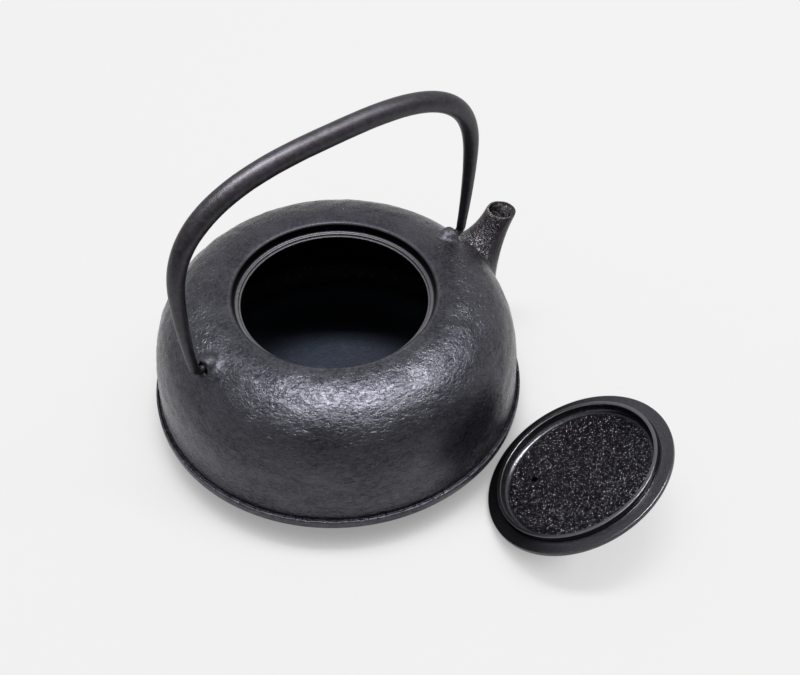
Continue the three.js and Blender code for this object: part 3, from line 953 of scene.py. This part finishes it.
def body_iron():
    """Lacquered casting: wrinkled skin, smoother by the mouth, pitted and browner on the spout,
    with painted glints at the spout's root and painted shade on the mouth's edge.
    """
    finish = bpy.context.scene.kettle_finish
    material, tree, shader = new_material("Body iron")
    place = round_coordinates(tree, object_coordinates(tree))
    radius, height, x = place["radius"], place["height"], place["x"]
    around = unrolled(tree, place, WRINKLE_STRETCH)
    plain = scaled(tree, object_coordinates(tree))
    on_edge = ramp(tree, radius, *MOUTH_EDGE)
    on_spout = product(tree, ramp(tree, x, *SPOUT_X), ramp(tree, height, *SPOUT_HEIGHT))
    on_lip = product(tree, ramp(tree, x, *SPOUT_LIP_X), ramp(tree, height, *SPOUT_LIP_HEIGHT))
    at_root = product(tree, on_spout, ramp(tree, x, *SPOUT_ROOT_X))
    # Side of the spout with deeper pits, stronger pit colour and the painted glints at its root
    pitted_and_glint_side = ramp(tree, along(tree, plain, SPOUT_SIDE), *SPOUT_SIDE_REACH)
    from_axis = math_node(tree, "ABSOLUTE", x)
    beside = ramp(tree, math_node(tree, "SUBTRACT", radius, from_axis), *EAR_BREADTH)
    on_ear = product(tree, ramp(tree, from_axis, *EAR_X), beside)
    on_ear = product(tree, on_ear, ramp(tree, radius, *EAR_RADIUS))

    smoother = product(tree, ramp(tree, radius, *MOUTH_FADE), 0.7)
    wrinkles = math_node(tree, "SUBTRACT", 1, smoother)
    cast = skin(tree, around, wrinkle_scale=0.56, wrinkle_depth=wrinkles,
                grain_scale=1.4, grain_depth=0.3, speck_scale=0.7)
    pitted = skin(tree, plain, wrinkle_scale=0.72, wrinkle_depth=2.4,
                  grain_scale=1.4, grain_depth=0.5, speck_scale=0.9)
    deeper = math_node(tree, "SUBTRACT", pitted["Height"], cast["Height"])
    share = product(tree, on_spout, linear(tree, pitted_and_glint_side, 0.7, 0.3))
    relief = linear(tree, deeper, share, cast["Height"])

    cloud = noise_value(tree, around, 0.06, detail=3)
    base = blend(tree, ramp(tree, cloud, 0.35, 0.68, 0, 0.4), finish.body, finish.worn)
    base = blend(tree, ramp(tree, cast["Tone"], 0.38, 0.64, 0, 0.42), base, finish.worn)
    base = blend(tree, product(tree, cast["Specks"], 0.5), base, finish.worn)
    hammered = math_node(tree, "SUBTRACT", ramp(tree, pitted["Tone"], 0.40, 0.60), 0.5)
    hammered = blend(tree, linear(tree, hammered, pitted_and_glint_side, 0.5), SPOUT_PIT, finish.rust)
    base = blend(tree, product(tree, on_spout, 0.85), base, hammered)
    # Pale flecks on the raised skin at the spout's root, on its pitted side: painted glints
    painted_root_glints = product(tree, at_root, ramp(tree, pitted["Tone"], 0.50, 0.60))
    base = blend(tree, product(tree, painted_root_glints, pitted_and_glint_side), base, SPOUT_PAINTED_GLINT)
    base = blend(tree, on_lip, base, finish.lip)
    # The mouth's edge is painted darker: painted shade that dims its highlight
    base = blend(tree, product(tree, on_edge, 0.4), base, EDGE_PAINTED_SHADE)

    roughness = linear(tree, cast["Tone"], 0.10, 0.23)
    for mask, rougher in ((on_spout, 0.06), (on_ear, 0.14), (on_edge, 0.25)):
        roughness = linear(tree, mask, rougher, roughness)
    finish_iron(tree, shader, base, roughness, relief, depth=0.225)
    return material


def inside_iron():
    """Inside of the kettle: painted near black above its floor as painted shade, a little blue on
    the floor, with a bare seat and a lumpy spout.
    """
    finish = bpy.context.scene.kettle_finish
    material, tree, shader = new_material("Inside iron")
    place = round_coordinates(tree, object_coordinates(tree))
    height = place["height"]
    in_bore = ramp(tree, place["x"], *BORE_X)
    wrinkles = linear(tree, in_bore, 3, 0.5)
    cast = skin(tree, scaled(tree, object_coordinates(tree)), wrinkle_scale=0.4,
                wrinkle_depth=wrinkles, grain_scale=0.9, grain_depth=0.3, speck_scale=0.4)
    on_seat = product(tree, ramp(tree, height, *SEAT_BOTTOM), ramp(tree, height, *SEAT_TOP))
    pale = math_node(tree, "MAXIMUM", on_seat, ramp(tree, height, *RIM_HEIGHT))
    # Above the floor the hollow, with the recess under the rim, is painted near black: painted
    # shade
    base = blend(tree, ramp(tree, height, *FLOOR_HEIGHT), INSIDE_PAINTED_SHADE, finish.inside)
    base = blend(tree, product(tree, cast["Specks"], 0.1), base, finish.worn)
    base = blend(tree, pale, base, finish.seat)
    lumpy = blend(tree, ramp(tree, cast["Tone"], 0.4, 0.65), BORE_HOLLOW, BORE_LUMP)
    base = blend(tree, in_bore, base, lumpy)
    roughness = linear(tree, cast["Tone"], 0.2, 0.36)
    finish_iron(tree, shader, base, roughness, cast["Height"], depth=0.12)
    return material


def handle_iron():
    """Smooth satin bar with faint grain."""
    finish = bpy.context.scene.kettle_finish
    material, tree, shader = new_material("Handle iron")
    cast = skin(tree, scaled(tree, object_coordinates(tree)), wrinkle_scale=0.35,
                wrinkle_depth=0.3, grain_scale=1.6, grain_depth=0.8, speck_scale=0.9)
    base = blend(tree, ramp(tree, cast["Tone"], 0.3, 0.7, 0, 0.35), finish.handle, finish.worn)
    base = blend(tree, product(tree, cast["Specks"], 0.3), base, finish.worn)
    roughness = linear(tree, cast["Tone"], 0.14, 0.35)
    finish_iron(tree, shader, base, roughness, cast["Height"], depth=0.08)
    return material


def lid_coordinates(tree):
    """Object coordinates turned back to the lid's own axis."""
    turn, place = lid_placement()
    node = tree.nodes.new("ShaderNodeMapping")
    node.vector_type = "TEXTURE"
    node.inputs["Location"].default_value = place
    node.inputs["Rotation"].default_value = turn
    tree.links.new(object_coordinates(tree), node.inputs["Vector"])
    return node.outputs["Vector"]


def in_steam_hole(tree, vector):
    """Mask of the steam hole, whose bore is painted black as painted shade."""
    hole = bpy.context.scene.kettle_lid.steam_hole
    flat = tree.nodes.new("ShaderNodeVectorMath")
    flat.operation = "MULTIPLY"
    tree.links.new(vector, flat.inputs[0])
    flat.inputs[1].default_value = (1, 1, 0)
    away = tree.nodes.new("ShaderNodeVectorMath")
    away.operation = "DISTANCE"
    tree.links.new(flat.outputs["Vector"], away.inputs[0])
    away.inputs[1].default_value = (*steam_hole_middle(), 0)
    return ramp(tree, away.outputs["Value"], hole + 0.15, hole)


def lid_iron():
    """Black lid: satin rim and coarse grain in the dish, with pale specks painted in as sparkle and
    a crest painted paler as a highlight.
    """
    finish = bpy.context.scene.kettle_finish
    material, tree, shader = new_material("Lid iron")
    own = lid_coordinates(tree)
    place = round_coordinates(tree, own)
    radius, height = place["radius"], place["height"]
    plain = scaled(tree, own)
    under = ramp(tree, linear(tree, radius, DISH_FALL, height), *DISH_HEIGHT)
    in_dish = product(tree, ramp(tree, radius, *DISH_RADIUS), under)
    cast = skin(tree, plain, wrinkle_scale=0.5, wrinkle_depth=0.15, grain_scale=1.55,
                grain_depth=linear(tree, in_dish, 1.7, 0.3), speck_scale=1.3)
    # Pale specks in the grain, dense in the dish and sparse on the rim: painted sparkle
    painted_sparkle = ramp(tree, cast["Grain"], 0.585, 0.665)
    painted_sparkle = product(tree, painted_sparkle, linear(tree, in_dish, 0.72, 0.28))
    painted_sparkle = math_node(tree, "MAXIMUM", painted_sparkle, product(tree, cast["Specks"], 0.4))
    base = blend(tree, in_dish, finish.lid, DISH_BLACK)
    base = blend(tree, painted_sparkle, base, DISH_PAINTED_SPARKLE)
    # The lip's crest is painted paler: a painted highlight
    base = blend(tree, ramp(tree, height, *CREST_HEIGHT), base, CREST_PAINTED_HIGHLIGHT)
    # The steam hole is painted black: painted shade
    base = blend(tree, in_steam_hole(tree, plain), base, HOLE_PAINTED_SHADE)
    roughness = linear(tree, in_dish, 0.1, 0.16)
    finish_iron(tree, shader, base, roughness, cast["Height"], depth=0.30)
    return material


def knob_iron():
    """Satin iron of the knob."""
    finish = bpy.context.scene.kettle_finish
    material, tree, shader = new_material("Knob iron")
    cast = skin(tree, scaled(tree, lid_coordinates(tree)), wrinkle_scale=0.4,
                wrinkle_depth=0.6, grain_scale=1.5, grain_depth=0.5, speck_scale=0.8)
    base = blend(tree, ramp(tree, cast["Tone"], 0.4, 0.7, 0, 0.4), finish.body, finish.worn)
    base = blend(tree, product(tree, cast["Specks"], 0.3), base, finish.worn)
    roughness = linear(tree, cast["Tone"], 0.12, 0.36)
    finish_iron(tree, shader, base, roughness, cast["Height"], depth=0.14)
    return material


# Stage

PHOTO_WIDTH = 800
SENSOR_WIDTH = 36
FOCAL_LENGTH_IN_PIXELS = 1150.5
CAMERA_PLACE = (-0.2218, -0.3361, 0.4709)
CAMERA_TILT, CAMERA_HEADING = 43.35, -38
FLOOR_REACH = 6
NEAR_FLOOR = (0.12, 0.12, 0.12)
NEAR_WAY, NEAR_FADE = (-0.55, -0.83, 0), (0.2, 0.6)
SHADOW_REACH = 0.024
OPEN_SKY, FLOOR_GLOW = (0.3, 0.80), (0.29, 0.636)
SKY_COLOUR, SKY_SEEN = (0.99, 0.99, 1), (0.87, 0.87, 0.87)
SKY_WAY, SKY_FADE, SKY_STRENGTH = (0.33, 0.50, 0.80), (-0.75, 0.45), (0.20, 0.76)
SOFTBOX_TURN = 140
KEY_PLACE, KEY_SIZE, KEY_POWER = (0.2, 0.16, 2.5), (1.0, 0.4), 60
LONG_PLACE, LONG_SIZE, LONG_POWER = (0.44, -0.05, 2.5), (3.2, 0.5), 76


def floor_material():
    """Pale floor that keeps shadows and shows a plain pale ground to the camera, with a painted
    contact shadow by ambient occlusion near the pieces; the iron sees it darker towards the
    camera's side.
    """
    finish = bpy.context.scene.kettle_finish
    material, tree, shader = new_material("Pale floor")
    seen = tree.nodes.new("ShaderNodeLightPath").outputs["Is Camera Ray"]
    near = ramp(tree, along(tree, object_coordinates(tree), NEAR_WAY), *NEAR_FADE)
    table = blend(tree, near, finish.floor, NEAR_FLOOR)
    tree.links.new(blend(tree, seen, table, finish.floor_seen), shader.inputs["Base Color"])
    shader.inputs["Roughness"].default_value = 0.9
    shader.inputs["Specular IOR Level"].default_value = 0
    shader.inputs["Emission Color"].default_value = (1, 1, 1, 1)
    # To the camera the floor glows, dimmed near the kettle and lid by ambient occlusion: a painted
    # contact shadow
    open_sky = tree.nodes.new("ShaderNodeAmbientOcclusion")
    open_sky.samples = 8
    open_sky.inputs["Distance"].default_value = SHADOW_REACH
    glow_and_painted_shadow = ramp(tree, open_sky.outputs["AO"], *OPEN_SKY, *FLOOR_GLOW)
    tree.links.new(product(tree, seen, glow_and_painted_shadow), shader.inputs["Emission Strength"])
    return material


def light_world():
    """Soft light that is brighter above and behind; the camera sees it as a plain pale ground."""
    world = bpy.data.worlds.new("Studio")
    bpy.context.scene.world = world
    world.use_nodes = True
    tree = world.node_tree
    background = tree.nodes["Background"]
    path = tree.nodes.new("ShaderNodeLightPath").outputs
    seen = math_node(tree, "MAXIMUM", path["Is Camera Ray"], path["Is Transmission Ray"])
    background.inputs["Color"].default_value = (*SKY_COLOUR, 1)
    ways = tree.nodes.new("ShaderNodeTexCoord").outputs["Generated"]
    sky = ramp(tree, along(tree, ways, SKY_WAY), *SKY_FADE, *SKY_STRENGTH)
    tree.links.new(blend(tree, seen, sky, SKY_SEEN), background.inputs["Strength"])


def softbox(name, place, size, power):
    """Oblong area light that shines straight down, its long side across the view."""
    data = bpy.data.lights.new(name, "AREA")
    data.shape = "RECTANGLE"
    data.size, data.size_y = size
    data.energy = power
    lamp = bpy.data.objects.new(name, data)
    lamp.location = place
    lamp.rotation_euler = (0, 0, math.radians(SOFTBOX_TURN))
    bpy.context.scene.collection.objects.link(lamp)


class KETTLE_OT_stage(bpy.types.Operator):
    """Make the floor, the soft light and the camera"""

    bl_idname = "kettle.stage"
    bl_label = "Stage"

    def execute(self, context):
        quarters = ((-1, -1), (1, -1), (1, 1), (-1, 1))
        square = [(x * FLOOR_REACH, y * FLOOR_REACH, 0) for x, y in quarters]
        floor = make_object("floor", square, [(0, 1, 2, 3)])
        floor.data.materials.append(floor_material())
        light_world()
        softbox("key softbox", KEY_PLACE, KEY_SIZE, KEY_POWER)
        softbox("long softbox", LONG_PLACE, LONG_SIZE, LONG_POWER)
        data = bpy.data.cameras.new("photo camera")
        data.sensor_width = SENSOR_WIDTH
        data.lens = FOCAL_LENGTH_IN_PIXELS / PHOTO_WIDTH * SENSOR_WIDTH
        camera = bpy.data.objects.new("photo camera", data)
        camera.location = CAMERA_PLACE
        camera.rotation_euler = (math.radians(CAMERA_TILT), 0, math.radians(CAMERA_HEADING))
        context.scene.collection.objects.link(camera)
        context.scene.camera = camera
        context.scene.view_settings.view_transform = "Standard"
        return {"FINISHED"}


class KETTLE_PT_panel(bpy.types.Panel):
    """Lists the kettle's pieces and the stage"""

    bl_label = "Cast Iron Kettle"
    bl_space_type = "VIEW_3D"
    bl_region_type = "UI"
    bl_category = "Kettle"

    def draw(self, context):
        for operator in OPERATORS:
            self.layout.operator(operator.bl_idname)


OPERATORS = (KETTLE_OT_stage, KETTLE_OT_body, KETTLE_OT_handle, KETTLE_OT_lid, KETTLE_OT_knob)
GROUPS = {
    "kettle_body": KettleBodySizes,
    "kettle_handle": KettleHandleSizes,
    "kettle_lid": KettleLidSizes,
    "kettle_finish": KettleFinish,
}


def register():
    for group in GROUPS.values():
        bpy.utils.register_class(group)
    for name, group in GROUPS.items():
        setattr(bpy.types.Scene, name, bpy.props.PointerProperty(type=group))
    for operator in OPERATORS:
        bpy.utils.register_class(operator)
    bpy.utils.register_class(KETTLE_PT_panel)


def unregister():
    bpy.utils.unregister_class(KETTLE_PT_panel)
    for operator in reversed(OPERATORS):
        bpy.utils.unregister_class(operator)
    for name, group in GROUPS.items():
        delattr(bpy.types.Scene, name)
        bpy.utils.unregister_class(group)


def main():
    register()
    bpy.ops.kettle.stage()
    bpy.ops.kettle.body()
    bpy.ops.kettle.handle()
    bpy.ops.kettle.lid()
    bpy.ops.kettle.knob()


if __name__ == "__main__":
    main()
